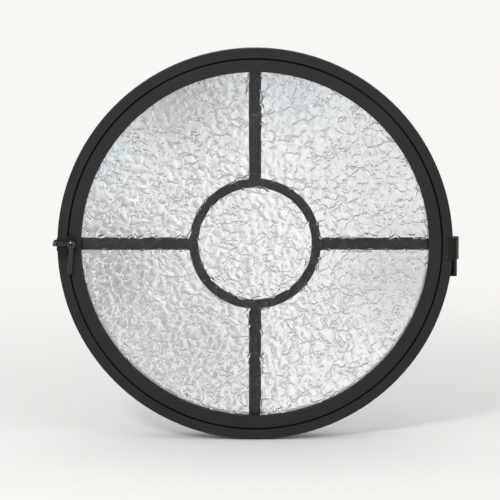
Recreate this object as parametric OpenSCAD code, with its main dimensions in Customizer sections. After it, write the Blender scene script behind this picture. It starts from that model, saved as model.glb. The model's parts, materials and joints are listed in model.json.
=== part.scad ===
// Round opening window in powder-coated aluminium, seen from the room side.
// X points right, Y into the wall and Z up. The origin is the centre of the ring on the wall face.
// Every piece is drawn in its front view and then stood up, so heights count from the wall to the room.

/* [Window] */
// Diameter over the sash rim
window_d = 800; // [640:10:1000]
// Depth of the frame sleeve behind the wall face
sleeve_depth = 45; // [36:1:100]

/* [Sash ring] */
// Radial width of the rim
rim_w = 20; // [18:0.5:24]
// Depth of the rim from back to front
rim_depth = 20; // [18:0.5:26]
// Radial width of the shadow line between rim and bead
shadow_w = 3; // [2:0.5:4]
// Radial width of the hollow body behind the bead
body_w = 12; // [11:0.5:14]
// Wall of the hollow profile
profile_t = 2; // [1.6:0.1:2.4]
// Rounding of the front edges
edge_r = 1.2; // [0.6:0.1:1.8]
// Thickness of the leg behind the glass
leg_t = 3; // [2:0.5:4]

/* [Glazing bead] */
// Radial width of the bead
bead_w = 25; // [22:0.5:30]
// Depth of the bead in front of the sash body
bead_depth = 13; // [11:0.5:15]
// Wall of the bead profile
bead_t = 1.8; // [1.4:0.1:2.2]

/* [Wall frame] */
// Thickness of the wall flange
flange_t = 4; // [3:0.5:6]
// How far the flange edge lies inside the rim edge
flange_inset = 3; // [2:0.5:4]
// Wall of the sleeve
sleeve_t = 3.5; // [2.5:0.5:4.5]
// Radial play between sash body and sleeve
sash_play = 2.5; // [1.8:0.1:3]
// Gap between flange and rim that the front gasket closes
rim_gap = 5; // [4:0.5:7]
// Thickness of the rear stop
stop_t = 3; // [2:0.5:5]
// How far the rear stop reaches behind the sash body
stop_lap = 10; // [8:0.5:12]
// Number of wall screws
wall_screws = 8; // [6:1:12]
// Hole for a wall screw
wall_screw_d = 5.2; // [4.2:0.1:6]

/* [Glass unit] */
// Thickness of each pane
pane_t = 4; // [3:0.5:6]
// Gap between the panes
cavity_w = 16; // [14:1:20]
// Radial play between glass edge and sash body
glass_play = 3; // [2.6:0.1:4]
// Thickness of the glazing gaskets
gasket_t = 3; // [2:0.5:4]
// Radial width of the spacer
spacer_w = 6; // [5:0.5:7]

/* [Bars] */
// Width of a straight bar
bar_w = 25; // [20:1:32]
// Thickness of the bars
bar_t = 10; // [8:0.5:12]
// Wall of the bars
bar_wall = 1; // [0.8:0.1:1.5]
// Diameter of the centre ring
bar_ring_d = 267; // [180:1:320]
// Radial width of the centre ring
bar_ring_w = 18.5; // [14:0.5:24]
// Length of an end plug
plug_len = 12; // [8:1:20]

/* [Hinge] */
// Diameter of the sash knuckle
knuckle_d = 16; // [14:0.5:18]
// Length of the sash knuckle
knuckle_len = 43.5; // [36:0.5:50]
// Diameter of the frame knuckle
bracket_knuckle_d = 9.6; // [9:0.1:10.4]
// Length of the frame knuckle
bracket_len = 32.5; // [28:0.5:40]
// Diameter of the hinge pin
pin_d = 5; // [4:0.1:6]
// Distance of the hinge axis outside the rim
hinge_off = 4.5; // [4:0.1:6]
// Height of the top of the sash knuckle above the centre
hinge_top = 15; // [10:0.5:20]
// Thickness of the leaf and the bracket plates
plate_t = 2; // [1.8:0.1:2.6]

/* [Latch] */
// Height of the latch pivot above the centre
latch_up = 4; // [0:0.5:8]
// Distance of the latch pivot inside the bead edge
pivot_inset = 6; // [5:0.5:9]
// Diameter of the lever hub
hub_d = 17; // [15:0.5:18]
// Depth of the lever hub
hub_depth = 13; // [12:0.5:16]
// Length of the lever from its pivot
lever_len = 61; // [45:1:80]
// Width of the lever
lever_w = 9; // [7:0.5:11]
// Thickness of the lever
lever_t = 6; // [5:0.5:7]
// Thickness of the tongue that hooks the stud
tongue_t = 3.2; // [2.6:0.1:4]
// Diameter of the pivot post
pivot_d = 6; // [5:0.1:7]
// Diameter of the ball on the stud
ball_d = 8.4; // [7:0.1:9]
// Diameter of the neck of the stud
neck_d = 4; // [3:0.1:4.6]
// Distance of the stud outside the rim
stud_off = 5; // [5:0.1:7]
// Diameter of the small fixing screws
screw_d = 3.2; // [2.8:0.1:3.4]

/* [Hidden] */

$fn = 96;
// Overlap that makes cuts clean
cut = 1;
// Clearances: a seat, a running fit, two faces that pass each other, two faces along a pivot
seat = 0.05;
running = 0.05;
passing = 0.3;
axial = 0.1;

// Colours
coat = [0.204, 0.2, 0.192];
bar_coat = [0.26, 0.25, 0.243];
rubber = [0.05, 0.05, 0.05];
steel = [0.16, 0.16, 0.16];
alloy = [0.62, 0.63, 0.64];
textured_glass = [0.85, 0.88, 0.9, 0.45];
clear_glass = [0.8, 0.88, 0.88, 0.35];
plastic = [0.12, 0.12, 0.12];

// Radii from the rim to the sight edge
rim_r = window_d / 2;
rim_in_r = rim_r - rim_w;
bead_r = rim_in_r - shadow_w;
sight_r = bead_r - bead_w;
body_step = 1;
body_r = bead_r + body_step;
body_in_r = body_r - body_w;
leg_inset = 2;
leg_in_r = sight_r + leg_inset;
sleeve_in_r = body_r + sash_play;
sleeve_r = sleeve_in_r + sleeve_t;
flange_r = rim_r - flange_inset;
stop_r = body_r - stop_lap;
glass_r = body_in_r - glass_play;

// Heights from the wall face towards the room
rim_back = flange_t + rim_gap;
rim_front = rim_back + rim_depth;
body_front = rim_front - bead_depth;
unit_t = 2 * pane_t + cavity_w;
rebate_spare = 2;
body_back = body_front - rebate_spare - unit_t - gasket_t - leg_t;
rear_seal_h = 4;
stop_front = body_back - rear_seal_h;
rear_glass_h = body_back + leg_t + gasket_t;
front_glass_h = rear_glass_h + unit_t;
cavity_back = rear_glass_h + pane_t;
cavity_mid = cavity_back + cavity_w / 2;
shelf_h = front_glass_h + gasket_t;

// Frame gaskets
seal_w = 5;
seal_foot = 1.5;
seal_in_r = sleeve_in_r + body_step;
seal_r = seal_in_r + seal_w;
front_bulb_r = 1.75;
rear_bulb_r = 1.3;

// Drain openings
drain_w = 12;
drain_h = 4;
drain_sill = 0.5;
drain_foot = body_back + leg_t + drain_sill;
drain_turn = 8;

// Wall screws sit in the middle of the flange that the front gasket leaves free
wall_screw_r = (seal_r + flange_r) / 2;
wall_screw_turn = 180 / wall_screws;

// Clip of the bead in its groove on the sash body
clip_t = 1.4;
clip_play = 0.2;
groove_depth = 0.9;
groove_h = 3;
groove_drop = 8;
barb_h = groove_h - 2 * clip_play;
shelf_t = 1.5;
shelf_w = 8;

// Glass unit
arris = 0.5;
spacer_in_r = sight_r + arris;
spacer_r = spacer_in_r + spacer_w;
spacer_wall = 0.8;
block_turns = [-120, -60, 20, 160];
block_arc = 8;
block_h = 16;

// Bars
bar_edge_r = 1.6;
bar_bore_edge_r = 0.7;
bar_ring_r = bar_ring_d / 2;
bar_bore_w = bar_w - 2 * bar_wall;
bar_bore_t = bar_t - 2 * bar_wall;
plug_play = 0.1;
plug_pin_r = 1.4;
plug_pin_len = 3;

// Hinge
axis_x = rim_r + hinge_off;
axis_h = rim_back + rim_depth / 2;
pin_r = pin_d / 2;
bore_r = pin_r + running;
knuckle_r = knuckle_d / 2;
hinge_foot = hinge_top - knuckle_len;
washer_t = 2;
bracket_knuckle_r = bracket_knuckle_d / 2;
bracket_top = hinge_foot - washer_t;
bracket_foot = bracket_top - bracket_len;
bracket_stiffer = 1;
bracket_plate_t = plate_t + bracket_stiffer;
bracket_lap = 3.5;
bracket_screw_in = 8;
pad_t = 2.5;
lip_w = 11.5;
lip_over = washer_t - passing - axial;
cap_t = 2;
cap_rim = 0.6;
cap_stem = 3;
leaf_screw_ups = [0.18, 0.5, 0.82];
pin_chamfer = 0.6;

// Latch
pivot_x = bead_r - pivot_inset;
pivot_r = pivot_d / 2;
base_w = 18;
base_len = 38;
base_screw_gap = 13;
base_front = rim_front + plate_t;
thrust_t = 0.8;
hub_back = base_front + thrust_t + 2 * axial;
hub_front = hub_back + hub_depth;
hub_r = hub_d / 2;
hub_edge_r = 1;
lever_tilt = 4;
lever_edge_r = 1.4;
head_r = 6.2;
head_t = 1.2;
dome_t = 1.6;
post_depth = 5;
stud_x = rim_r + stud_off;
tongue_reach = stud_x - pivot_x;
tongue_w = 9;
notch_r = neck_d / 2 + passing;
notch_flare = 1.6;
wear_w = 15.5;
wear_len = 35;
wear_edge = 1.5;
wear_corner = 1.5;
wear_drop = 10.5;
wear_screw_gap = 13;

// Keeper
keeper_w = 27;
keeper_drop = 5.5;
keeper_lap = 2.5;
keeper_ear_r = 4.2;
keeper_screw_gap = 8;
collar_r = 3.6;
collar_t = 3;
ball_r = ball_d / 2;
ball_h = hub_back + tongue_t + passing + ball_r;

// Small screws
screw_r = screw_d / 2;
head_depth = screw_r;
plate_screw_len = 9;
base_screw_len = 19;
flange_screw_len = 6.5;
socket_r = 1.1;
socket_depth = 1;
hole_play = 0.1;

// Brackets on the flange keep clear of the front gasket
seal_clear = 0.8;
bracket_in_r = seal_r + seal_clear;
flange_screw_r = (bracket_in_r + flange_r) / 2;
bracket_screw_ups = [bracket_top - bracket_screw_in, bracket_foot + bracket_screw_in];
keeper_mid = latch_up - keeper_drop;
keeper_screw_ups = [keeper_mid + keeper_screw_gap, keeper_mid - keeper_screw_gap];
wear_mid = latch_up - wear_drop;

// Distance from the upright centre line at which a circle of radius r has height z
function across(r, z) = sqrt(r * r - z * z);

// Stands a front view up: its Z becomes the direction towards the room
module stand() {
    rotate([90, 0, 0]) children();
}

module ring() {
    stand() rotate_extrude($fn = 360) children();
}

module box_2d(x0, x1, y0, y1) {
    translate([x0, y0]) square([x1 - x0, y1 - y0]);
}

// Rectangle with all corners rounded
module soft_2d(x0, x1, y0, y1, r) {
    box_2d(x0 + r, x1 - r, y0, y1);
    box_2d(x0, x1, y0 + r, y1 - r);
    for (x = [x0 + r, x1 - r]) {
        for (y = [y0 + r, y1 - r]) translate([x, y]) circle(r);
    }
}

// Rectangle with its two upper corners rounded
module crowned_2d(x0, x1, y0, y1, r) {
    box_2d(x0, x1, y0, y1 - r);
    box_2d(x0 + r, x1 - r, y1 - r - cut, y1);
    for (x = [x0 + r, x1 - r]) translate([x, y1 - r]) circle(r);
}

// Cylinder along the upright direction of the front view
module upright(r, y0, y1) {
    translate([0, y0, 0]) rotate([-90, 0, 0]) cylinder(r = r, h = y1 - y0);
}

// Countersunk screw with a hexagon socket, its head flush with height 0
module screw(len) {
    difference() {
        union() {
            translate([0, 0, -len]) cylinder(r = screw_r, h = len);
            translate([0, 0, -head_depth]) cylinder(r1 = screw_r, r2 = 2 * screw_r, h = head_depth);
        }
        translate([0, 0, -socket_depth]) cylinder(r = socket_r, h = socket_depth + cut, $fn = 6);
    }
}

// Hole for that screw, open to the front
module screw_hole(depth) {
    translate([0, 0, -depth]) cylinder(r = screw_r + hole_play, h = depth + cut);
    translate([0, 0, -head_depth])
        cylinder(r1 = screw_r + hole_play, r2 = 2 * screw_r + hole_play, h = head_depth);
}

module pilot(h0, h1) {
    translate([0, 0, h0]) cylinder(r = screw_r + running, h = h1 - h0);
}

// Places of the small screws in the front view
module at_leaf_screws() {
    for (share = leaf_screw_ups) {
        up = hinge_foot + share * knuckle_len;
        translate([across(rim_r - lip_w / 2, up), up, 0]) children();
    }
}

module at_base_screws() {
    for (side = [-1, 1]) translate([-pivot_x, latch_up + side * base_screw_gap, 0]) children();
}

module at_wear_screws() {
    for (side = [-1, 1])
        translate([-rim_r + wear_edge + wear_w / 2, wear_mid + side * wear_screw_gap, 0]) children();
}

module at_bracket_screws() {
    for (up = bracket_screw_ups) translate([across(flange_screw_r, up), up, 0]) children();
}

module at_keeper_screws() {
    for (up = keeper_screw_ups) translate([-across(flange_screw_r, up), up, 0]) children();
}

// Box across the ring at its foot, turned to each drain place
module drains(r0, r1, h0, h1) {
    for (side = [-1, 1])
        rotate([0, 0, side * drain_turn - 90])
            translate([r0, -drain_w / 2, h0]) cube([r1 - r0, drain_w, h1 - h0]);
}

// Fixed frame

module wall_frame() {
    color(coat) difference() {
        ring() {
            box_2d(sleeve_in_r, sleeve_r, -sleeve_depth, flange_t);
            crowned_2d(sleeve_in_r, flange_r, 0, flange_t, edge_r);
            box_2d(stop_r, sleeve_r, stop_front - stop_t, stop_front);
        }
        stand() {
            for (k = [0:wall_screws - 1])
                rotate([0, 0, wall_screw_turn + 2 * wall_screw_turn * k])
                    translate([wall_screw_r, 0, -cut])
                        cylinder(r = wall_screw_d / 2, h = flange_t + 2 * cut);
            at_bracket_screws() pilot(-cut, flange_t + cut);
            at_keeper_screws() pilot(-cut, flange_t + cut);
            drains(stop_r - cut, sleeve_in_r, stop_front - stop_t - cut, stop_front + cut);
        }
    }
}

// Bulb gasket on a flat foot
module bulb_2d(r0, r1, h0, h1, bulb_r) {
    box_2d(r0, r1, h0, h0 + seal_foot);
    translate([(r0 + r1) / 2, h1 - bulb_r]) circle(bulb_r);
    box_2d((r0 + r1 - bulb_r) / 2, (r0 + r1 + bulb_r) / 2, h0, h1 - bulb_r);
}

module front_frame_gasket() {
    color(rubber) ring() bulb_2d(seal_in_r, seal_r, flange_t, rim_back - passing, front_bulb_r);
}

module rear_frame_gasket() {
    color(rubber) ring()
        bulb_2d(stop_r + body_step, stop_r + body_step + seal_w, stop_front, body_back - passing,
            rear_bulb_r);
}

// Sash

module sash_ring() {
    color(coat) difference() {
        ring() difference() {
            union() {
                crowned_2d(rim_in_r, rim_r, rim_back, rim_front, edge_r);
                box_2d(body_in_r, body_r, body_back, body_front);
                box_2d(body_r - profile_t, rim_in_r + profile_t, rim_back, body_front);
                box_2d(leg_in_r, body_r, body_back, body_back + leg_t);
            }
            box_2d(rim_in_r + profile_t, rim_r - profile_t, rim_back + profile_t, rim_front - profile_t);
            box_2d(body_in_r + profile_t, body_r - profile_t, body_back + leg_t, body_front - profile_t);
            box_2d(body_in_r - cut, body_in_r + groove_depth, body_front - groove_drop,
                body_front - groove_drop + groove_h);
        }
        stand() {
            at_leaf_screws() pilot(rim_front - plate_screw_len, rim_front + cut);
            at_wear_screws() pilot(rim_front - plate_screw_len, rim_front + cut);
            at_base_screws() pilot(body_front - base_screw_len, body_front + cut);
            translate([-pivot_x, latch_up, body_front - post_depth])
                cylinder(r = pivot_r + running, h = post_depth + cut);
            drains(body_in_r - cut, body_r + cut, drain_foot, drain_foot + drain_h);
            drains((rim_in_r + rim_r - drain_h) / 2, (rim_in_r + rim_r + drain_h) / 2, rim_back - cut,
                rim_back + profile_t + cut);
        }
    }
}

module glazing_bead() {
    clip_r = body_in_r - clip_play;
    barb_foot = body_front - groove_drop + clip_play;
    color(coat) difference() {
        ring() {
            difference() {
                crowned_2d(sight_r, bead_r, body_front, rim_front, edge_r);
                box_2d(sight_r + bead_t, bead_r - bead_t, body_front - cut, rim_front - bead_t);
                box_2d(sight_r - cut, sight_r + bead_t + cut, body_front - cut, shelf_h);
            }
            box_2d(sight_r, sight_r + shelf_w, shelf_h, shelf_h + shelf_t);
            box_2d(clip_r - clip_t, clip_r, barb_foot, rim_front - bead_t);
            box_2d(clip_r - clip_t, body_in_r + groove_depth - clip_play, barb_foot, barb_foot + barb_h);
        }
        stand() {
            at_base_screws() pilot(body_front, rim_front + cut);
            translate([-pivot_x, latch_up, body_front])
                cylinder(r = pivot_r + running, h = bead_depth + cut);
        }
    }
}

module bead_gasket() {
    color(rubber) ring()
        box_2d(sight_r + edge_r, sight_r + shelf_w - edge_r, front_glass_h, shelf_h);
}

module rear_glass_gasket() {
    color(rubber) ring()
        box_2d(leg_in_r + edge_r, leg_in_r + shelf_w - edge_r, body_back + leg_t, rear_glass_h);
}

// Pane with its arrises taken off
module pane(h0) {
    ring() polygon([
        [0, h0], [glass_r - arris, h0], [glass_r, h0 + arris],
        [glass_r, h0 + pane_t - arris], [glass_r - arris, h0 + pane_t], [0, h0 + pane_t]
    ]);
}

module front_pane() {
    color(textured_glass) pane(front_glass_h - pane_t);
}

module rear_pane() {
    color(clear_glass) pane(rear_glass_h);
}

// Holes for the pins of the end plugs, on the upright and the level bars
module plug_holes(r0, r1) {
    for (turn = [0:90:270])
        rotate([0, 0, turn]) translate([0, 0, cavity_mid])
            upright(plug_pin_r + plug_play, r0, r1);
}

module spacer_ring() {
    color(alloy) difference() {
        ring() difference() {
            box_2d(spacer_in_r, spacer_r, cavity_back, cavity_back + cavity_w);
            box_2d(spacer_in_r + spacer_wall, spacer_r - spacer_wall, cavity_back + spacer_wall,
                cavity_back + cavity_w - spacer_wall);
        }
        stand() plug_holes(spacer_in_r - cut, spacer_in_r + spacer_w / 2);
    }
}

module edge_sealant() {
    color(rubber) ring()
        box_2d(spacer_r + seat, glass_r - arris, cavity_back, cavity_back + cavity_w);
}

module setting_blocks() {
    color(plastic) stand() for (turn = block_turns)
        rotate([0, 0, turn - block_arc / 2]) translate([0, 0, rear_glass_h])
            rotate_extrude(angle = block_arc, $fn = 360)
                box_2d(glass_r + seat, body_in_r - seat, 0, min(block_h, unit_t - groove_drop));
}

// Bars between the panes

module bar_section(w, t, r) {
    soft_2d(-w / 2, w / 2, -t / 2, t / 2, r);
}

// Straight stretch along the upright direction, shaped to the centre ring and to the spacer
module bar_stretch(r0, r1, w, t, r) {
    intersection() {
        difference() {
            translate([0, 0, cavity_mid]) rotate([-90, 0, 0]) linear_extrude(spacer_in_r)
                bar_section(w, t, r);
            translate([0, 0, cavity_back]) cylinder(r = r0, h = cavity_w, $fn = 360);
        }
        translate([0, 0, cavity_back]) cylinder(r = r1, h = cavity_w, $fn = 360);
    }
}

module bar(turn) {
    color(bar_coat) stand() rotate([0, 0, turn]) difference() {
        bar_stretch(bar_ring_r + seat, spacer_in_r - seat, bar_w, bar_t, bar_edge_r);
        translate([0, 0, cavity_mid]) rotate([-90, 0, 0]) linear_extrude(spacer_in_r + cut)
            bar_section(bar_bore_w, bar_bore_t, bar_bore_edge_r);
    }
}

module bar_top() {
    bar(0);
}

module bar_left() {
    bar(90);
}

module bar_bottom() {
    bar(180);
}

module bar_right() {
    bar(270);
}

module bar_ring() {
    color(bar_coat) difference() {
        ring() translate([bar_ring_r - bar_ring_w / 2, cavity_mid]) difference() {
            bar_section(bar_ring_w, bar_t, bar_edge_r);
            bar_section(bar_ring_w - 2 * bar_wall, bar_bore_t, bar_bore_edge_r);
        }
        stand() plug_holes(bar_ring_r - bar_ring_w / 2, bar_ring_r + cut);
    }
}

module bar_plugs() {
    w = bar_bore_w - 2 * plug_play;
    t = bar_bore_t - 2 * plug_play;
    color(plastic) stand() for (turn = [0:90:270]) rotate([0, 0, turn]) {
        bar_stretch(bar_ring_r + seat, bar_ring_r + plug_len, w, t, bar_bore_edge_r);
        translate([0, 0, cavity_mid]) upright(plug_pin_r, bar_ring_r - plug_pin_len, bar_ring_r + cut);
        bar_stretch(spacer_in_r - plug_len, spacer_in_r - seat, w, t, bar_bore_edge_r);
        translate([0, 0, cavity_mid])
            upright(plug_pin_r, spacer_in_r - cut, spacer_in_r + spacer_w / 2 - cut);
    }
}

// Hinge

module hinge_bracket() {
    color(coat) stand() difference() {
        union() {
            translate([0, 0, flange_t]) linear_extrude(bracket_plate_t) difference() {
                box_2d(across(bracket_in_r, bracket_foot) - cut, axis_x + bracket_knuckle_r,
                    bracket_foot - bracket_lap, bracket_top + bracket_lap);
                circle(bracket_in_r, $fn = 360);
            }
            translate([axis_x - bracket_knuckle_r, bracket_foot, flange_t])
                cube([bracket_knuckle_d, bracket_len, axis_h - flange_t]);
            translate([axis_x, 0, axis_h]) upright(bracket_knuckle_r, bracket_foot, bracket_top);
        }
        translate([axis_x, 0, axis_h]) upright(bore_r, bracket_foot - cut, bracket_top + cut);
        translate([0, 0, flange_t + bracket_plate_t])
            at_bracket_screws() screw_hole(bracket_plate_t + cut);
    }
}

module hinge_bracket_screws() {
    color(steel) stand() translate([0, 0, flange_t + bracket_plate_t])
        at_bracket_screws() screw(flange_screw_len);
}

module hinge_pin() {
    top = hinge_top - cap_stem - axial;
    color(steel) stand() translate([axis_x, bracket_foot, axis_h]) rotate([-90, 0, 0])
        rotate_extrude() polygon([
            [0, 0], [pin_r - pin_chamfer, 0], [pin_r, pin_chamfer],
            [pin_r, top - bracket_foot - pin_chamfer], [pin_r - pin_chamfer, top - bracket_foot],
            [0, top - bracket_foot]
        ]);
}

module hinge_washer() {
    color(steel) stand() translate([axis_x, 0, axis_h]) difference() {
        upright(bracket_knuckle_r, bracket_top, hinge_foot - axial);
        upright(bore_r, bracket_top - cut, hinge_foot + cut);
    }
}

module rim_space() {
    translate([0, 0, rim_back - cut])
        cylinder(r = rim_r + seat, h = rim_front - rim_back + cut, $fn = 360);
}

module hinge_leaf() {
    lip_in_r = rim_r - lip_w;
    color(coat) stand() difference() {
        union() {
            translate([axis_x, 0, axis_h]) upright(knuckle_r, hinge_foot, hinge_top);
            intersection() {
                rotate_extrude($fn = 360) {
                    box_2d(rim_r, rim_r + pad_t, rim_back, rim_front + plate_t);
                    crowned_2d(lip_in_r, rim_r + pad_t, rim_front, rim_front + plate_t, edge_r / 2);
                }
                translate([0, hinge_foot - lip_over, rim_back])
                    cube([rim_r + pad_t + cut, knuckle_len + 2 * lip_over, rim_depth + plate_t]);
            }
        }
        rim_space();
        translate([axis_x, 0, axis_h]) upright(bore_r, hinge_foot - cut, hinge_top + cut);
        translate([axis_x, 0, axis_h])
            upright(knuckle_r, hinge_foot - lip_over - cut, hinge_foot);
        translate([axis_x, 0, axis_h])
            upright(knuckle_r, hinge_top, hinge_top + lip_over + cut);
        translate([0, 0, rim_front + plate_t]) at_leaf_screws() screw_hole(plate_t + cut);
    }
}

module hinge_leaf_screws() {
    color(steel) stand() translate([0, 0, rim_front + plate_t]) at_leaf_screws() screw(plate_screw_len);
}

module hinge_cap() {
    color(plastic) stand() difference() {
        translate([axis_x, hinge_top, axis_h]) rotate([-90, 0, 0]) {
            rotate_extrude() polygon([
                [0, seat], [knuckle_r - passing, seat], [knuckle_r - passing, cap_t - cap_rim],
                [knuckle_r - passing - cap_rim, cap_t], [0, cap_t]
            ]);
            translate([0, 0, -cap_stem]) cylinder(r = pin_r, h = cap_stem + cap_t / 2);
        }
        rim_space();
        translate([0, 0, rim_back - cut])
            cylinder(r = rim_r + pad_t + seat, h = rim_front - rim_back + cut, $fn = 360);
    }
}

// Latch

module latch_base() {
    half = base_w / 2;
    color(coat) stand() translate([0, 0, rim_front]) difference() {
        linear_extrude(plate_t) translate([-pivot_x, latch_up]) {
            box_2d(-half, half, half - base_len / 2, base_len / 2 - half);
            for (side = [-1, 1]) translate([0, side * (base_len / 2 - half)]) circle(half);
        }
        translate([-pivot_x, latch_up, -cut]) cylinder(r = pivot_r + running, h = plate_t + 2 * cut);
        translate([0, 0, plate_t]) at_base_screws() screw_hole(plate_t + cut);
    }
}

module latch_base_screws() {
    color(steel) stand() translate([0, 0, base_front]) at_base_screws() screw(base_screw_len);
}

module wear_plate() {
    color(coat) stand() translate([0, 0, rim_front]) difference() {
        linear_extrude(plate_t)
            soft_2d(-rim_r + wear_edge, -rim_r + wear_edge + wear_w, wear_mid - wear_len / 2,
                wear_mid + wear_len / 2, wear_corner);
        translate([0, 0, plate_t]) at_wear_screws() screw_hole(plate_t + cut);
    }
}

module wear_plate_screws() {
    color(steel) stand() translate([0, 0, base_front]) at_wear_screws() screw(plate_screw_len);
}

module latch_pivot() {
    head_h = hub_front + axial;
    dome_r = (head_r * head_r + dome_t * dome_t) / (2 * dome_t);
    color(steel) stand() translate([-pivot_x, latch_up, 0]) rotate_extrude() {
        box_2d(0, pivot_r, body_front - post_depth, head_h + cut);
        box_2d(0, head_r, head_h, head_h + head_t);
        translate([0, head_h + head_t]) intersection() {
            translate([0, dome_t - dome_r]) circle(dome_r);
            box_2d(0, head_r, 0, dome_t);
        }
    }
}

module thrust_washer() {
    color(plastic) stand() translate([-pivot_x, latch_up, base_front + axial]) difference() {
        cylinder(r = hub_r - hub_edge_r, h = thrust_t);
        translate([0, 0, -cut]) cylinder(r = pivot_r + running, h = thrust_t + 2 * cut);
    }
}

// Tongue that hooks the neck of the stud from below
module tongue_2d() {
    half = tongue_w / 2;
    difference() {
        union() {
            box_2d(-tongue_reach, 0, -half, half);
            translate([-tongue_reach, 0]) circle(half);
        }
        translate([-tongue_reach, 0]) circle(notch_r);
        translate([-tongue_reach, 0]) polygon([
            [-notch_r, 0], [notch_r, 0], [notch_r + notch_flare, half + cut], [-notch_r, half + cut]
        ]);
    }
}

// Grip arm with rounded edges and a round end
module lever_arm() {
    half = lever_w / 2;
    translate([0, half - lever_len, 0]) {
        rotate([-90, 0, 0]) mirror([0, 1, 0]) linear_extrude(lever_len - half)
            soft_2d(-half, half, 0, lever_t, lever_edge_r);
        rotate([0, 0, 180]) rotate_extrude(angle = 180) intersection() {
            soft_2d(-half, half, 0, lever_t, lever_edge_r);
            box_2d(0, half, 0, lever_t);
        }
    }
}

module latch_lever() {
    color(coat) stand() translate([-pivot_x, latch_up, hub_back]) difference() {
        union() {
            rotate_extrude() intersection() {
                crowned_2d(-hub_r, hub_r, 0, hub_depth, hub_edge_r);
                box_2d(0, hub_r, 0, hub_depth);
            }
            linear_extrude(tongue_t) tongue_2d();
            translate([0, 0, hub_depth - lever_t]) rotate([0, 0, -lever_tilt]) lever_arm();
        }
        translate([0, 0, -cut]) cylinder(r = pivot_r + running, h = hub_depth + 2 * cut);
    }
}

module keeper_bracket() {
    color(coat) stand() translate([0, 0, flange_t]) difference() {
        linear_extrude(bracket_plate_t) {
            difference() {
                intersection() {
                    box_2d(-rim_r - keeper_lap, -across(bracket_in_r, keeper_w) + cut,
                        keeper_mid - keeper_w / 2, keeper_mid + keeper_w / 2);
                    circle(rim_r + keeper_lap, $fn = 360);
                }
                circle(bracket_in_r, $fn = 360);
            }
            box_2d(-stud_x, -flange_r, latch_up - keeper_ear_r, latch_up + keeper_ear_r);
            translate([-stud_x, latch_up]) circle(keeper_ear_r);
        }
        translate([-stud_x, latch_up, -cut])
            cylinder(r = neck_d / 2 + running, h = bracket_plate_t + 2 * cut);
        translate([0, 0, bracket_plate_t]) at_keeper_screws() screw_hole(bracket_plate_t + cut);
    }
}

module keeper_stud() {
    base = flange_t + bracket_plate_t;
    color(steel) stand() translate([-stud_x, latch_up, 0]) {
        translate([0, 0, flange_t]) cylinder(r = neck_d / 2, h = ball_h - flange_t);
        translate([0, 0, base]) cylinder(r = collar_r, h = collar_t);
        translate([0, 0, ball_h]) sphere(ball_r);
    }
}

module keeper_screws() {
    color(steel) stand() translate([0, 0, flange_t + bracket_plate_t])
        at_keeper_screws() screw(flange_screw_len);
}

wall_frame();
front_frame_gasket();
rear_frame_gasket();
hinge_bracket();
hinge_bracket_screws();
hinge_pin();
hinge_washer();
keeper_bracket();
keeper_stud();
keeper_screws();
sash_ring();
glazing_bead();
bead_gasket();
rear_glass_gasket();
front_pane();
rear_pane();
spacer_ring();
edge_sealant();
bar_top();
bar_left();
bar_bottom();
bar_right();
bar_ring();
bar_plugs();
setting_blocks();
hinge_leaf();
hinge_leaf_screws();
hinge_cap();
latch_base();
latch_base_screws();
wear_plate();
wear_plate_screws();
latch_pivot();
thrust_washer();
latch_lever();
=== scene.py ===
import json
import math

import bpy
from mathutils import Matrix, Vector


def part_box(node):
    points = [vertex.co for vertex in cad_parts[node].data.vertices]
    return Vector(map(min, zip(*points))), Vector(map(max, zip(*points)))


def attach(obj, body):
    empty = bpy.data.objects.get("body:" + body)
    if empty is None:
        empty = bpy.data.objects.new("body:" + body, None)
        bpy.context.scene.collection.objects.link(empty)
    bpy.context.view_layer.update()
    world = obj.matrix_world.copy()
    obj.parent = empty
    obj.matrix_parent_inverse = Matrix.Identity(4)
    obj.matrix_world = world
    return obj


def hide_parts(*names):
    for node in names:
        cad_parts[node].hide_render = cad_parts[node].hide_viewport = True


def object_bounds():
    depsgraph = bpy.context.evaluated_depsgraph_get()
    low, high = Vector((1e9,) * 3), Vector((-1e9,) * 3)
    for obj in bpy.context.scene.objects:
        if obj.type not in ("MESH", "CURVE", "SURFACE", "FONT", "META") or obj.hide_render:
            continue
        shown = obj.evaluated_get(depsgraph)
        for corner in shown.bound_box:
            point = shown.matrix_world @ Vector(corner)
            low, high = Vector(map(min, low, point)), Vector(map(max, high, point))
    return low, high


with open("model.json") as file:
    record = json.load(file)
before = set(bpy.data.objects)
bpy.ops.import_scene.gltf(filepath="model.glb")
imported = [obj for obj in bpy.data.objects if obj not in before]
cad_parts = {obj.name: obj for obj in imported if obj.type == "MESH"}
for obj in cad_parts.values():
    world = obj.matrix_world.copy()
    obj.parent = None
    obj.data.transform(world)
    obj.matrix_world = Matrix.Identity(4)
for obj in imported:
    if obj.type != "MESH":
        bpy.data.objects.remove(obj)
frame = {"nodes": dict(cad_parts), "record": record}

# Round window with textured glass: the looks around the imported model, in metres.
# X points right, Y to the back and Z up, as in the frame.

cad_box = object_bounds()
nodes = frame["nodes"]
MM = 0.001


# Sizes taken from the frame

pane_low, pane_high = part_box("front_pane")
pane_r = pane_high.x
pane_front = pane_low.y
pane_back = pane_high.y
rim_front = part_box("sash_ring")[0].y
bead = nodes["glazing_bead"]
bead_places = [bead.matrix_world @ vertex.co for vertex in bead.data.vertices]
bead_in_r = min(math.hypot(place.x, place.z) for place in bead_places)


# Modelling helpers

def deselect_all():
    if bpy.context.object and bpy.context.object.mode != "OBJECT":
        bpy.ops.object.mode_set(mode="OBJECT")
    bpy.ops.object.select_all(action="DESELECT")


def make_active(obj):
    deselect_all()
    obj.select_set(True)
    bpy.context.view_layer.objects.active = obj


def settle(obj, name):
    """Names a new piece and puts its place into its mesh."""
    make_active(obj)
    bpy.ops.object.transform_apply(location=True, rotation=True, scale=True)
    obj.name = name
    obj.data.name = name


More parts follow.
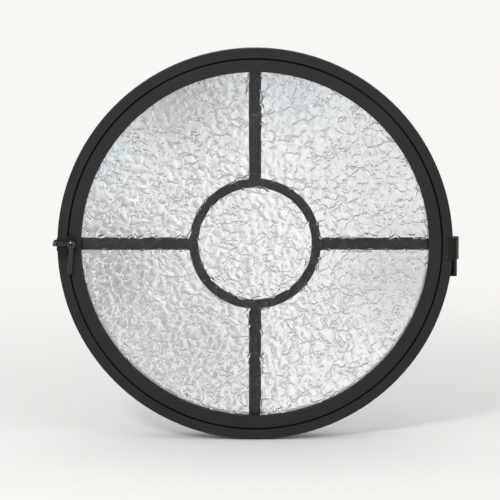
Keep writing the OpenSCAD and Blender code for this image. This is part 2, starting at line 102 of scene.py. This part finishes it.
def select_vertices(obj, wanted):
    """Selects the vertices that wanted(place) picks, then enters edit mode."""
    make_active(obj)
    bpy.ops.object.mode_set(mode="EDIT")
    bpy.ops.mesh.select_mode(type="VERT")
    bpy.ops.mesh.select_all(action="DESELECT")
    bpy.ops.object.mode_set(mode="OBJECT")
    for vertex in obj.data.vertices:
        vertex.select = wanted(vertex.co)
    bpy.ops.object.mode_set(mode="EDIT")


def apply_modifier(obj, kind, name, **settings):
    make_active(obj)
    modifier = obj.modifiers.new(name, kind)
    for key, value in settings.items():
        setattr(modifier, key, value)
    bpy.ops.object.modifier_apply(modifier=modifier.name)


# Node helpers

# Sockets of a Mix node that is set to colours
MIX_SHARE, MIX_FIRST, MIX_SECOND, MIX_RESULT = 0, 6, 7, 2


def new_material(name):
    material = bpy.data.materials.new(name)
    material.use_nodes = True
    tree = material.node_tree
    return material, tree, tree.nodes["Principled BSDF"]


def set_values(node, values):
    """Sets constants on a node's inputs, by the name or the number of the socket."""
    for socket, value in values.items():
        node.inputs[socket].default_value = value


def add_node(tree, kind, values=None, **settings):
    made = tree.nodes.new(kind)
    for key, value in settings.items():
        setattr(made, key, value)
    set_values(made, values or {})
    return made


def join(tree, source, target):
    tree.links.new(source, target)


def noise_node(tree, place, values, **settings):
    made = add_node(tree, "ShaderNodeTexNoise", values, **settings)
    join(tree, place, made.inputs["Vector"])
    return made


def span_node(tree, source, from_span=(0.0, 1.0), to_span=(0.0, 1.0), curve="SMOOTHSTEP"):
    """Carries a value from one span over to another."""
    made = add_node(tree, "ShaderNodeMapRange", {
        "From Min": from_span[0], "From Max": from_span[1],
        "To Min": to_span[0], "To Max": to_span[1]}, interpolation_type=curve)
    join(tree, source, made.inputs["Value"])
    return made


def bump_node(tree, height, depth, strength=1.0):
    made = add_node(tree, "ShaderNodeBump", {"Distance": depth, "Strength": strength})
    join(tree, height, made.inputs["Height"])
    return made


def multiply(tree, first, second):
    made = add_node(tree, "ShaderNodeMath", operation="MULTIPLY")
    join(tree, first, made.inputs[0])
    join(tree, second, made.inputs[1])
    return made.outputs["Value"]


def mix_colours(tree, share, first, second):
    """Mixes two colours, each of them a constant or the output of a node."""
    made = add_node(tree, "ShaderNodeMix", data_type="RGBA")
    join(tree, share, made.inputs[MIX_SHARE])
    for socket, colour in ((MIX_FIRST, first), (MIX_SECOND, second)):
        if isinstance(colour, tuple):
            made.inputs[socket].default_value = (*colour, 1.0)
        else:
            join(tree, colour, made.inputs[socket])
    return made.outputs[MIX_RESULT]


def ramp_node(tree, stops):
    made = tree.nodes.new("ShaderNodeValToRGB")
    elements = made.color_ramp.elements
    while len(elements) < len(stops):
        elements.new(0.5)
    for element, (place, shade) in zip(elements, stops):
        element.position = place
        element.color = (shade, shade, shade, 1.0)
    return made


# Opaque finishes

GRAIN_DEPTH = 0.1 * MM
GRAIN_DETAIL = 3.0
MOTTLE_DETAIL = 4.0


def make_grain_group():
    """Fine pits of a sprayed or moulded skin: a height, and a slow mottle from 0 to 1."""
    group = bpy.data.node_groups.new("surface_grain", "ShaderNodeTree")
    face = group.interface
    face.new_socket("Grain Scale", in_out="INPUT", socket_type="NodeSocketFloat")
    face.new_socket("Mottle Scale", in_out="INPUT", socket_type="NodeSocketFloat")
    face.new_socket("Height", in_out="OUTPUT", socket_type="NodeSocketFloat")
    face.new_socket("Mottle", in_out="OUTPUT", socket_type="NodeSocketFloat")
    entry = group.nodes.new("NodeGroupInput")
    leave = group.nodes.new("NodeGroupOutput")
    place = add_node(group, "ShaderNodeTexCoord").outputs["Object"]
    grain = noise_node(group, place, {"Detail": GRAIN_DETAIL})
    mottle = noise_node(group, place, {"Detail": MOTTLE_DETAIL})
    join(group, entry.outputs["Grain Scale"], grain.inputs["Scale"])
    join(group, entry.outputs["Mottle Scale"], mottle.inputs["Scale"])
    join(group, grain.outputs["Fac"], leave.inputs["Height"])
    join(group, mottle.outputs["Fac"], leave.inputs["Mottle"])
    return group


grain_group = make_grain_group()


def grained(name, dark, light, rough, grain, mottle, bump, metallic=0.0, specular=0.5):
    """Opaque finish with mottled colour and roughness and a fine grain in its normal."""
    material, tree, shader = new_material(name)
    set_values(shader, {"Metallic": metallic, "Specular IOR Level": specular})
    skin = add_node(tree, "ShaderNodeGroup", node_tree=grain_group)
    set_values(skin, {"Grain Scale": grain, "Mottle Scale": mottle})
    colour = mix_colours(tree, skin.outputs["Mottle"], dark, light)
    join(tree, colour, shader.inputs["Base Color"])
    spread = span_node(tree, skin.outputs["Mottle"], to_span=rough, curve="LINEAR")
    join(tree, spread.outputs["Result"], shader.inputs["Roughness"])
    relief = bump_node(tree, skin.outputs["Height"], GRAIN_DEPTH, bump)
    join(tree, relief.outputs["Normal"], shader.inputs["Normal"])
    return material


# Grain and mottle are counted in cells to a metre
OPAQUE_LOOKS = {
    "dark_coat": dict(
        dark=(0.021, 0.0205, 0.0193), light=(0.028, 0.0274, 0.026), rough=(0.5, 0.64),
        grain=1800.0, mottle=14.0, bump=0.5, specular=0.15),
    "bar_coat": dict(
        dark=(0.02, 0.0195, 0.0182), light=(0.026, 0.0255, 0.0242), rough=(0.45, 0.55),
        grain=1400.0, mottle=20.0, bump=0.3, specular=0.4),
    "gasket_rubber": dict(
        dark=(0.007, 0.007, 0.007), light=(0.012, 0.012, 0.012), rough=(0.6, 0.75),
        grain=900.0, mottle=30.0, bump=0.4),
    "edge_sealant": dict(
        dark=(0.006, 0.006, 0.006), light=(0.01, 0.01, 0.01), rough=(0.5, 0.65),
        grain=700.0, mottle=40.0, bump=0.3),
    "spacer_alloy": dict(
        dark=(0.40, 0.41, 0.42), light=(0.50, 0.51, 0.52), rough=(0.3, 0.42),
        grain=2400.0, mottle=18.0, bump=0.2, metallic=1.0),
    "dark_steel": dict(
        dark=(0.045, 0.045, 0.045), light=(0.075, 0.073, 0.07), rough=(0.28, 0.42),
        grain=2600.0, mottle=120.0, bump=0.2, metallic=0.8),
    "black_plastic": dict(
        dark=(0.012, 0.012, 0.012), light=(0.018, 0.018, 0.018), rough=(0.45, 0.6),
        grain=1500.0, mottle=60.0, bump=0.4),
    "hardware_coat": dict(
        dark=(0.014, 0.014, 0.0135), light=(0.02, 0.0198, 0.019), rough=(0.26, 0.38),
        grain=1100.0, mottle=45.0, bump=0.25, specular=0.25),
    # The lever's coat is lighter than the other hardware: painted highlight for the light stripe
    # along the lever.
    "lever_coat_painted_highlight": dict(
        dark=(0.027, 0.0265, 0.0256), light=(0.04, 0.0393, 0.038), rough=(0.24, 0.36),
        grain=1100.0, mottle=45.0, bump=0.25, specular=0.5),
    "hinge_coat": dict(
        dark=(0.007, 0.007, 0.0067), light=(0.011, 0.0108, 0.0104), rough=(0.16, 0.24),
        grain=1100.0, mottle=45.0, bump=0.15, specular=0.9),
    "worn_steel": dict(
        dark=(0.11, 0.109, 0.106), light=(0.16, 0.158, 0.154), rough=(0.2, 0.28),
        grain=2600.0, mottle=120.0, bump=0.1, metallic=1.0),
}


# Glass

GLASS_IOR = 1.5
FRONT_LIMIT = pane_back - 1 * MM
INSIDE_SHARE = 0.3
CREASE_BUMP = 4.5 * MM
CREASE_NOISE = {"Scale": 48.0, "Detail": 1.0, "Roughness": 0.35, "Distortion": 0.8}
CREASE_POWER = 2.0
VEIN_BUMP = 4.4 * MM
VEIN_SCALE = 42.0
VEIN_EDGE = 0.09
WANDER_NOISE = {"Scale": 70.0, "Detail": 1.0}
WANDER_REACH = 17 * MM
BREAK_NOISE = {"Scale": 48.0, "Detail": 1.0}
BREAK_SPAN = (0.4, 0.56)


def new_glass(name, tint, rough=0.0):
    material, tree, shader = new_material(name)
    set_values(shader, {"Base Color": (*tint, 1.0), "Roughness": rough,
                        "Transmission Weight": 1.0, "IOR": GLASS_IOR})
    return material, tree, shader


def front_share(tree, place):
    """1 on the front face of the pane, less where light meets it from inside, 0 on the back."""
    depth = add_node(tree, "ShaderNodeSeparateXYZ")
    join(tree, place, depth.inputs["Vector"])
    front = add_node(tree, "ShaderNodeMath", {1: FRONT_LIMIT}, operation="LESS_THAN")
    join(tree, depth.outputs["Y"], front.inputs[0])
    facing = add_node(tree, "ShaderNodeNewGeometry")
    softer = span_node(tree, facing.outputs["Backfacing"], to_span=(1.0, INSIDE_SHARE),
                       curve="LINEAR")
    return multiply(tree, front.outputs["Value"], softer.outputs["Result"])


def crease_height(tree, place):
    folds = noise_node(tree, place, CREASE_NOISE,
                       noise_type="RIDGED_MULTIFRACTAL", normalize=True)
    sharp = add_node(tree, "ShaderNodeMath", {1: CREASE_POWER}, operation="POWER")
    join(tree, folds.outputs["Fac"], sharp.inputs[0])
    return sharp.outputs["Value"]


def vein_height(tree, place):
    """Thin ridges along wandering cell edges, broken off in places."""
    wander = noise_node(tree, place, WANDER_NOISE)
    shift = add_node(tree, "ShaderNodeVectorMath", {1: (WANDER_REACH,) * 3},
                     operation="MULTIPLY_ADD")
    join(tree, wander.outputs["Color"], shift.inputs[0])
    join(tree, place, shift.inputs[2])
    veins = add_node(tree, "ShaderNodeTexVoronoi", {"Scale": VEIN_SCALE},
                     feature="DISTANCE_TO_EDGE")
    join(tree, shift.outputs["Vector"], veins.inputs["Vector"])
    crest = span_node(tree, veins.outputs["Distance"], (0.0, VEIN_EDGE), (1.0, 0.0))
    broken = noise_node(tree, place, BREAK_NOISE)
    kept = span_node(tree, broken.outputs["Fac"], BREAK_SPAN)
    return multiply(tree, kept.outputs["Result"], crest.outputs["Result"])


def textured_glass():
    """Rolled glass: the large relief is modelled, a finer one on its front is in the normal."""
    material, tree, shader = new_glass("textured_glass", tint=(0.97, 0.98, 0.98), rough=0.01)
    place = add_node(tree, "ShaderNodeTexCoord").outputs["Object"]
    share = front_share(tree, place)
    creases = bump_node(tree, multiply(tree, crease_height(tree, place), share), CREASE_BUMP)
    veins = bump_node(tree, multiply(tree, vein_height(tree, place), share), VEIN_BUMP)
    join(tree, creases.outputs["Normal"], veins.inputs["Normal"])
    join(tree, veins.outputs["Normal"], shader.inputs["Normal"])
    return material


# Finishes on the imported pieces

finishes = {name: grained(name, **looks) for name, looks in OPAQUE_LOOKS.items()}
finishes["clear_glass"] = new_glass("clear_glass", tint=(0.98, 0.99, 0.985))[0]
finishes["textured_glass"] = textured_glass()
slot_of = {part["node"]: part["material_slot"] for part in frame["record"]["subparts"]}

# Pieces of the hinge and the latch that look other than the rest of their slot
own_finish = {
    "hinge_leaf": "hinge_coat", "hinge_bracket": "hinge_coat",
    # The lever's lighter finish is painted highlight.
    "latch_lever": "lever_coat_painted_highlight",
    "keeper_stud": "worn_steel", "latch_pivot": "worn_steel",
    "keeper_bracket": "hardware_coat", "latch_base": "hardware_coat",
    "wear_plate": "hardware_coat",
}


def dress(obj, finish_name):
    obj.data.materials.clear()
    obj.data.materials.append(finishes[finish_name])


for node_name, node_object in nodes.items():
    dress(node_object, own_finish.get(node_name, slot_of[node_name]))


# Textured pane, with its relief sunk into the front plane of the flat one

CELLS = 344
FOLD_DEPTH = 1.2 * MM
FOLD_WIDTH = 18 * MM
FOLD_TOP = 1.12
SWELL_DEPTH = 1.1 * MM
SWELL_WIDTH = 12 * MM
SWELL_TOP = 0.88
RELIEF_MARGIN = 4 * MM
SMOOTH_ANGLE = math.radians(65)


def relief_texture(name, kind, **settings):
    texture = bpy.data.textures.new(name, kind)
    for key, value in settings.items():
        setattr(texture, key, value)
    return texture


def make_round_pane(name):
    """A fine square grid, trimmed to a disc and drawn out to the pane's thickness."""
    deselect_all()
    bpy.ops.mesh.primitive_grid_add(
        x_subdivisions=CELLS, y_subdivisions=CELLS, size=2 * pane_r,
        location=(0, pane_front, 0), rotation=(math.pi / 2, 0, 0))
    pane = bpy.context.object
    settle(pane, name)
    cell = 2 * pane_r / CELLS
    select_vertices(pane, lambda co: math.hypot(co.x, co.z) > pane_r - cell)
    bpy.ops.mesh.delete(type="VERT")
    bpy.ops.mesh.select_all(action="SELECT")
    bpy.ops.mesh.region_to_loop()
    bpy.ops.object.mode_set(mode="OBJECT")
    for vertex in pane.data.vertices:
        if vertex.select:
            out = pane_r / math.hypot(vertex.co.x, vertex.co.z)
            vertex.co = (vertex.co.x * out, vertex.co.y, vertex.co.z * out)
    bpy.ops.object.mode_set(mode="EDIT")
    bpy.ops.mesh.extrude_edges_move(
        TRANSFORM_OT_translate={"value": (0, pane_back - pane_front, 0)})
    bpy.ops.mesh.edge_face_add()
    bpy.ops.object.mode_set(mode="OBJECT")
    return pane


def sink_relief(pane):
    """Sinks folds and a swell into the front face, fading out towards the bead."""
    relief = pane.vertex_groups.new(name="relief")
    for vertex in pane.data.vertices:
        inside = bead_in_r - math.hypot(vertex.co.x, vertex.co.z)
        if inside > 0:
            relief.add([vertex.index], min(1.0, inside / RELIEF_MARGIN), "REPLACE")
    folds = relief_texture(
        "relief_folds", "MUSGRAVE", musgrave_type="RIDGED_MULTIFRACTAL",
        noise_basis="ORIGINAL_PERLIN", noise_scale=FOLD_WIDTH, octaves=1.0)
    swell = relief_texture("relief_swell", "CLOUDS", noise_scale=SWELL_WIDTH, noise_depth=1)
    for name, texture, depth, top in (("folds", folds, FOLD_DEPTH, FOLD_TOP),
                                      ("swell", swell, SWELL_DEPTH, SWELL_TOP)):
        apply_modifier(pane, "DISPLACE", name, texture=texture, texture_coords="LOCAL",
                       direction="Y", strength=-depth, mid_level=top, vertex_group="relief")


def make_textured_pane():
    pane = make_round_pane("textured_pane")
    sink_relief(pane)
    make_active(pane)
    bpy.ops.object.mode_set(mode="EDIT")
    bpy.ops.mesh.select_all(action="SELECT")
    bpy.ops.mesh.normals_make_consistent(inside=False)
    bpy.ops.object.mode_set(mode="OBJECT")
    bpy.ops.object.shade_smooth_by_angle(angle=SMOOTH_ANGLE)
    dress(pane, "textured_glass")
    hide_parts("front_pane")
    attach(pane, "sash")


make_textured_pane()


# Floor

FLOOR_SIZE = 24.0
FLOOR_DROP = 1 * MM
FLOOR_FADE = (0.5, 2.2)
PALE = (0.94, 0.93, 0.905)


def make_floor():
    """Pale floor that takes the shadow near the window and runs out into the backdrop colour."""
    deselect_all()
    bpy.ops.mesh.primitive_plane_add(size=FLOOR_SIZE,
                                     location=(0, 0, cad_box[0].z - FLOOR_DROP))
    floor = bpy.context.object
    settle(floor, "studio_floor")
    material, tree, shader = new_material("pale_floor")
    set_values(shader, {"Base Color": (*PALE, 1.0), "Roughness": 0.9,
                        "Specular IOR Level": 0.1})
    place = add_node(tree, "ShaderNodeTexCoord")
    away = add_node(tree, "ShaderNodeVectorMath", operation="LENGTH")
    join(tree, place.outputs["Object"], away.inputs[0])
    fade = span_node(tree, away.outputs["Value"], FLOOR_FADE)
    rays = add_node(tree, "ShaderNodeLightPath")
    share = multiply(tree, fade.outputs["Result"], rays.outputs["Is Camera Ray"])
    glow = add_node(tree, "ShaderNodeEmission", {"Color": (*PALE, 1.0)})
    blend = add_node(tree, "ShaderNodeMixShader")
    join(tree, share, blend.inputs["Fac"])
    join(tree, shader.outputs["BSDF"], blend.inputs[1])
    join(tree, glow.outputs["Emission"], blend.inputs[2])
    join(tree, blend.outputs["Shader"], tree.nodes["Material Output"].inputs["Surface"])
    floor.data.materials.append(material)
    floor.visible_transmission = False
    floor.visible_glossy = False


make_floor()


# Sheet of painted shade behind the glass

CARD_BACK = 0.4
CARD_SIZE = 3.2
CARD_BASE = (1.0, 1.0, 1.0)
# Middle (x, z) and radius in metres, then the painted shade and tint of what is seen through the
# patch
PAINTED_SHADE_PATCHES = [
    (-0.17, 0.33, 0.26, (0.42, 0.43, 0.43)),
    (-0.33, -0.11, 0.2, (0.68, 0.69, 0.69)),
    (0.12, 0.34, 0.24, (0.64, 0.69, 0.73)),
    (-0.36, 0.15, 0.16, (0.80, 0.88, 0.92)),
    (-0.11, -0.29, 0.22, (0.84, 0.83, 0.80)),
    (0.32, -0.12, 0.22, (0.70, 0.71, 0.70)),
    (0.27, 0.13, 0.24, (0.84, 0.85, 0.85)),
]


def make_patch_group():
    """A round soft patch: 1 in its middle, 0 past its radius."""
    group = bpy.data.node_groups.new("soft_patch", "ShaderNodeTree")
    face = group.interface
    face.new_socket("Place", in_out="INPUT", socket_type="NodeSocketVector")
    face.new_socket("Centre", in_out="INPUT", socket_type="NodeSocketVector")
    face.new_socket("Radius", in_out="INPUT", socket_type="NodeSocketFloat")
    face.new_socket("Mask", in_out="OUTPUT", socket_type="NodeSocketFloat")
    entry = group.nodes.new("NodeGroupInput")
    leave = group.nodes.new("NodeGroupOutput")
    away = add_node(group, "ShaderNodeVectorMath", operation="DISTANCE")
    join(group, entry.outputs["Place"], away.inputs[0])
    join(group, entry.outputs["Centre"], away.inputs[1])
    soft = span_node(group, away.outputs["Value"], to_span=(1.0, 0.0))
    join(group, entry.outputs["Radius"], soft.inputs["From Max"])
    join(group, soft.outputs["Result"], leave.inputs["Mask"])
    return group


def make_glass_card():
    """Clear sheet with soft grey patches of painted shade behind the window, seen only through
    its glass.
    """
    patch_group = make_patch_group()
    deselect_all()
    bpy.ops.mesh.primitive_plane_add(size=CARD_SIZE, location=(0, CARD_BACK, 0),
                                     rotation=(math.pi / 2, 0, 0))
    card = bpy.context.object
    settle(card, "glass_card")
    material, tree, shader = new_material("glass_card")
    place = add_node(tree, "ShaderNodeTexCoord")
    colour = CARD_BASE
    # Each patch lays painted shade over what the glass shows.
    for x, z, radius, shade in PAINTED_SHADE_PATCHES:
        patch = add_node(tree, "ShaderNodeGroup", node_tree=patch_group)
        set_values(patch, {"Centre": (x, CARD_BACK, z), "Radius": radius})
        join(tree, place.outputs["Object"], patch.inputs["Place"])
        colour = mix_colours(tree, patch.outputs["Mask"], colour, shade)
    tint = add_node(tree, "ShaderNodeBsdfTransparent")
    join(tree, colour, tint.inputs["Color"])
    join(tree, tint.outputs["BSDF"], tree.nodes["Material Output"].inputs["Surface"])
    tree.nodes.remove(shader)
    card.data.materials.append(material)
    card.visible_camera = False
    card.visible_diffuse = False
    card.visible_glossy = False
    card.visible_shadow = False


make_glass_card()


# World and lights

EVEN_LIGHT = (0.76, 0.76, 0.76)
# Reflections: span of the ray's Y, and the shades at its ends
MIRROR_SPAN, MIRROR_SHADES = (-0.95, -0.2), (0.18, 0.95)
# Through the glass: mottled straight ahead, light above and dark below where rays are bent aside
MOTTLED_NOISE = {"Scale": 7.0, "Detail": 2.0}
MOTTLED_SHADES = [(0.34, 0.46), (0.5, 0.9), (0.66, 1.2)]
ASIDE_SPAN, ASIDE_SHARES = (0.8, 0.96), (0.9, 0.0)
HEIGHT_SPAN, HEIGHT_SHADES = (-0.45, 0.1), (0.36, 1.3)
# Through the glass towards the front: the same mottle, dimmed
TURN_SPAN = (-0.1, 0.3)
FRONT_DIM = 0.52


def shades_through_glass(tree, look, way):
    mottle = noise_node(tree, look, MOTTLED_NOISE)
    shades = ramp_node(tree, MOTTLED_SHADES)
    join(tree, mottle.outputs["Fac"], shades.inputs["Fac"])
    aside = span_node(tree, way.outputs["Y"], ASIDE_SPAN, ASIDE_SHARES)
    height = span_node(tree, way.outputs["Z"], HEIGHT_SPAN, HEIGHT_SHADES)
    to_back = mix_colours(tree, aside.outputs["Result"], shades.outputs["Color"],
                          height.outputs["Result"])
    to_front = add_node(tree, "ShaderNodeVectorMath", {"Scale": FRONT_DIM}, operation="SCALE")
    join(tree, shades.outputs["Color"], to_front.inputs[0])
    turn = span_node(tree, way.outputs["Y"], TURN_SPAN)
    return mix_colours(tree, turn.outputs["Result"], to_front.outputs["Vector"], to_back)


def make_world():
    """Even light, with shades of its own for reflections, for the glass and for the backdrop."""
    world = bpy.data.worlds.new("studio")
    bpy.context.scene.world = world
    world.use_nodes = True
    tree = world.node_tree
    backdrop = tree.nodes["Background"]
    rays = add_node(tree, "ShaderNodeLightPath")
    look = add_node(tree, "ShaderNodeTexCoord").outputs["Generated"]
    way = add_node(tree, "ShaderNodeSeparateXYZ")
    join(tree, look, way.inputs["Vector"])
    mirrored = span_node(tree, way.outputs["Y"], MIRROR_SPAN, MIRROR_SHADES)
    colour = mix_colours(tree, rays.outputs["Is Glossy Ray"], EVEN_LIGHT,
                         mirrored.outputs["Result"])
    colour = mix_colours(tree, rays.outputs["Is Transmission Ray"], colour,
                         shades_through_glass(tree, look, way))
    colour = mix_colours(tree, rays.outputs["Is Camera Ray"], colour, PALE)
    join(tree, colour, backdrop.inputs["Color"])
    backdrop.inputs["Strength"].default_value = 1.0


make_world()


def area_light(name, place, size, power):
    """A round lamp that faces the middle of the window."""
    light = bpy.data.lights.new(name, "AREA")
    light.shape = "DISK"
    light.size = size
    light.energy = power
    holder = bpy.data.objects.new(name, light)
    bpy.context.scene.collection.objects.link(holder)
    holder.location = place
    holder.rotation_euler = (-Vector(place)).to_track_quat("-Z", "Y").to_euler()


area_light("key_light", place=(-1.2, -2.7, 1.7), size=0.6, power=38.0)
area_light("fill_light", place=(1.8, -1.8, 0.8), size=1.6, power=8.0)


# Camera

PIXELS = 500
METRES_PER_PIXEL = 2.022 * MM
RING_PIXEL = (255.1, 245.5)
CAMERA_LIFT = math.radians(9)
CAMERA_REACH = 7.0
SENSOR_WIDTH = 36.0


def make_camera():
    lens = bpy.data.cameras.new("photo_camera")
    camera = bpy.data.objects.new("photo_camera", lens)
    bpy.context.scene.collection.objects.link(camera)
    aim_x = (PIXELS / 2 - RING_PIXEL[0]) * METRES_PER_PIXEL
    aim_z = (RING_PIXEL[1] - PIXELS / 2) * METRES_PER_PIXEL
    aim = Vector((aim_x, rim_front, aim_z))
    back = Vector((0, -math.cos(CAMERA_LIFT), math.sin(CAMERA_LIFT)))
    camera.location = aim + back * CAMERA_REACH
    camera.rotation_euler = (-back).to_track_quat("-Z", "Y").to_euler()
    lens.sensor_width = SENSOR_WIDTH
    lens.lens = SENSOR_WIDTH * CAMERA_REACH / (PIXELS * METRES_PER_PIXEL)
    bpy.context.scene.camera = camera


make_camera()
bpy.context.scene.view_settings.view_transform = "Standard"
